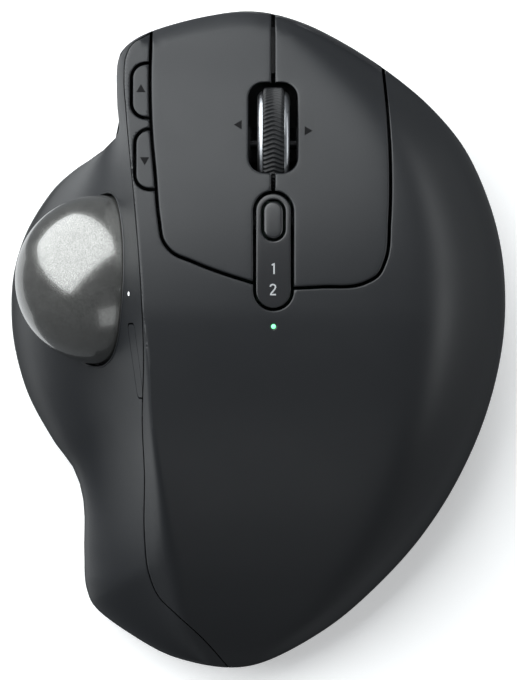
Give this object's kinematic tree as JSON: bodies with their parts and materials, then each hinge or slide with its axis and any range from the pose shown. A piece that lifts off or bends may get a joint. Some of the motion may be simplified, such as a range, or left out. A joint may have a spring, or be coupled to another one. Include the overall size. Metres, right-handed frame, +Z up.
{
  "type": "trackball mouse",
  "caption": "Wireless thumb trackball mouse: sculpted shells, keys, scroll wheel, thumb ball in a cup on bearings, and a magnetic base plate that tilts it up to 20 degrees.",
  "frame": {"origin": "on the table, under the middle of the body's bounding box", "axes": "+Y to the front (cable end of a usual mouse), +X to the right, +Z up"},
  "size_m": [0.0998, 0.1324, 0.0514],
  "materials": {
    "graphite": "soft-touch graphite",
    "dark_plastic": "moulded black",
    "gloss": "satin black",
    "ball": "glossy grey with silver speckle",
    "rubber": "matt",
    "steel": "satin",
    "board": "solder mask",
    "ceramic": "polished",
    "cell": "wrapped foil",
    "green_light": "clear light pipe",
    "white_light": "clear light pipe"
  },
  "bodies": {
    "base": {"base_pad": "rubber", "base_plate": "steel", "hinge_pin_front": "steel", "hinge_pin_rear": "steel"},
    "body": {"bottom_case": "dark_plastic", "thumb_shell": "graphite", "palm_shell": "graphite", "key_frame": "dark_plastic", "ball_cup": "dark_plastic", "bearing_1": "ceramic", "bearing_2": "ceramic", "bearing_3": "ceramic", "sensor_lens": "ceramic", "sensor_chip": "dark_plastic", "sensor_board": "board", "main_board": "board", "processor": "dark_plastic", "battery": "cell", "usb_port": "steel", "left_switch": "dark_plastic", "right_switch": "dark_plastic", "forward_switch": "dark_plastic", "back_switch": "dark_plastic", "middle_switch": "dark_plastic", "mode_switch": "dark_plastic", "mode_board": "board", "mode_panel": "gloss", "battery_led": "green_light", "thumb_led": "white_light", "power_switch": "dark_plastic", "magnet_left": "steel", "magnet_right": "steel", "case_screw_1": "steel", "case_screw_2": "steel", "case_screw_3": "steel", "case_screw_4": "steel", "lever_pin": "steel"},
    "ball": {"trackball": "ball"},
    "left_key": {"left_key": "graphite"},
    "right_key": {"right_key": "graphite"},
    "forward_button": {"forward_button": "graphite"},
    "back_button": {"back_button": "graphite"},
    "mode_button": {"mode_button": "gloss"},
    "precision_button": {"precision_button": "gloss"},
    "power_slider": {"power_slider": "gloss"},
    "wheel_lever": {"wheel_lever": "dark_plastic"},
    "wheel_cradle": {"wheel_cradle": "dark_plastic", "wheel_encoder": "dark_plastic"},
    "wheel": {"wheel_tyre": "rubber", "wheel_core": "dark_plastic", "wheel_rim_left": "steel", "wheel_rim_right": "steel", "wheel_axle": "steel"}
  },
  "joints": [
    {"name": "body_tilt", "type": "hinge", "parent": "base", "child": "body", "pos_m": [0.018, 0, 0.005], "axis": [0, 1, 0], "range_deg": [0, 20]},
    {"name": "ball_spin", "type": "hinge", "parent": "body", "child": "ball", "pos_m": [-0.03196, 0.01216, 0.023], "axis": [0.5, 0, 0.866], "continuous": true},
    {"name": "left_key_press", "type": "hinge", "parent": "body", "child": "left_key", "pos_m": [-0.009, 0.017, 0.046], "axis": [-1, 0, 0], "range_deg": [0, 0.9], "stiffness_Nm_per_rad": 1, "springref_deg": -2.86},
    {"name": "right_key_press", "type": "hinge", "parent": "body", "child": "right_key", "pos_m": [0.015, 0.0125, 0.0455], "axis": [-1, 0, 0], "range_deg": [0, 0.9], "stiffness_Nm_per_rad": 1, "springref_deg": -2.86},
    {"name": "forward_press", "type": "slide", "parent": "body", "child": "forward_button", "axis": [0, 0, -1], "range_m": [0, 0.0006], "stiffness_N_per_m": 200, "springref_m": -0.001},
    {"name": "back_press", "type": "slide", "parent": "body", "child": "back_button", "axis": [0, 0, -1], "range_m": [0, 0.0006], "stiffness_N_per_m": 200, "springref_m": -0.001},
    {"name": "mode_press", "type": "slide", "parent": "body", "child": "mode_button", "axis": [0, 0, -1], "range_m": [0, 0.0005], "stiffness_N_per_m": 200, "springref_m": -0.001},
    {"name": "precision_press", "type": "slide", "parent": "body", "child": "precision_button", "axis": [0.9436, 0, -0.3312], "range_m": [0, 0.0005], "stiffness_N_per_m": 200, "springref_m": -0.001},
    {"name": "power_slide", "type": "slide", "parent": "body", "child": "power_slider", "axis": [0, 1, 0], "range_m": [0, 0.002]},
    {"name": "wheel_press", "type": "hinge", "parent": "body", "child": "wheel_lever", "pos_m": [0.0031, 0.0233, 0.0139], "axis": [-1, 0, 0], "range_deg": [0, 1.5], "stiffness_Nm_per_rad": 1.5, "springref_deg": -2.86},
    {"name": "wheel_tilt", "type": "hinge", "parent": "wheel_lever", "child": "wheel_cradle", "pos_m": [0.0031, 0.0393, 0.0179], "axis": [0, 1, 0], "range_deg": [-3, 3], "stiffness_Nm_per_rad": 0.5},
    {"name": "wheel_spin", "type": "hinge", "parent": "wheel_cradle", "child": "wheel", "pos_m": [0.0031, 0.0393, 0.0319], "axis": [1, 0, 0], "continuous": true}
  ]
}
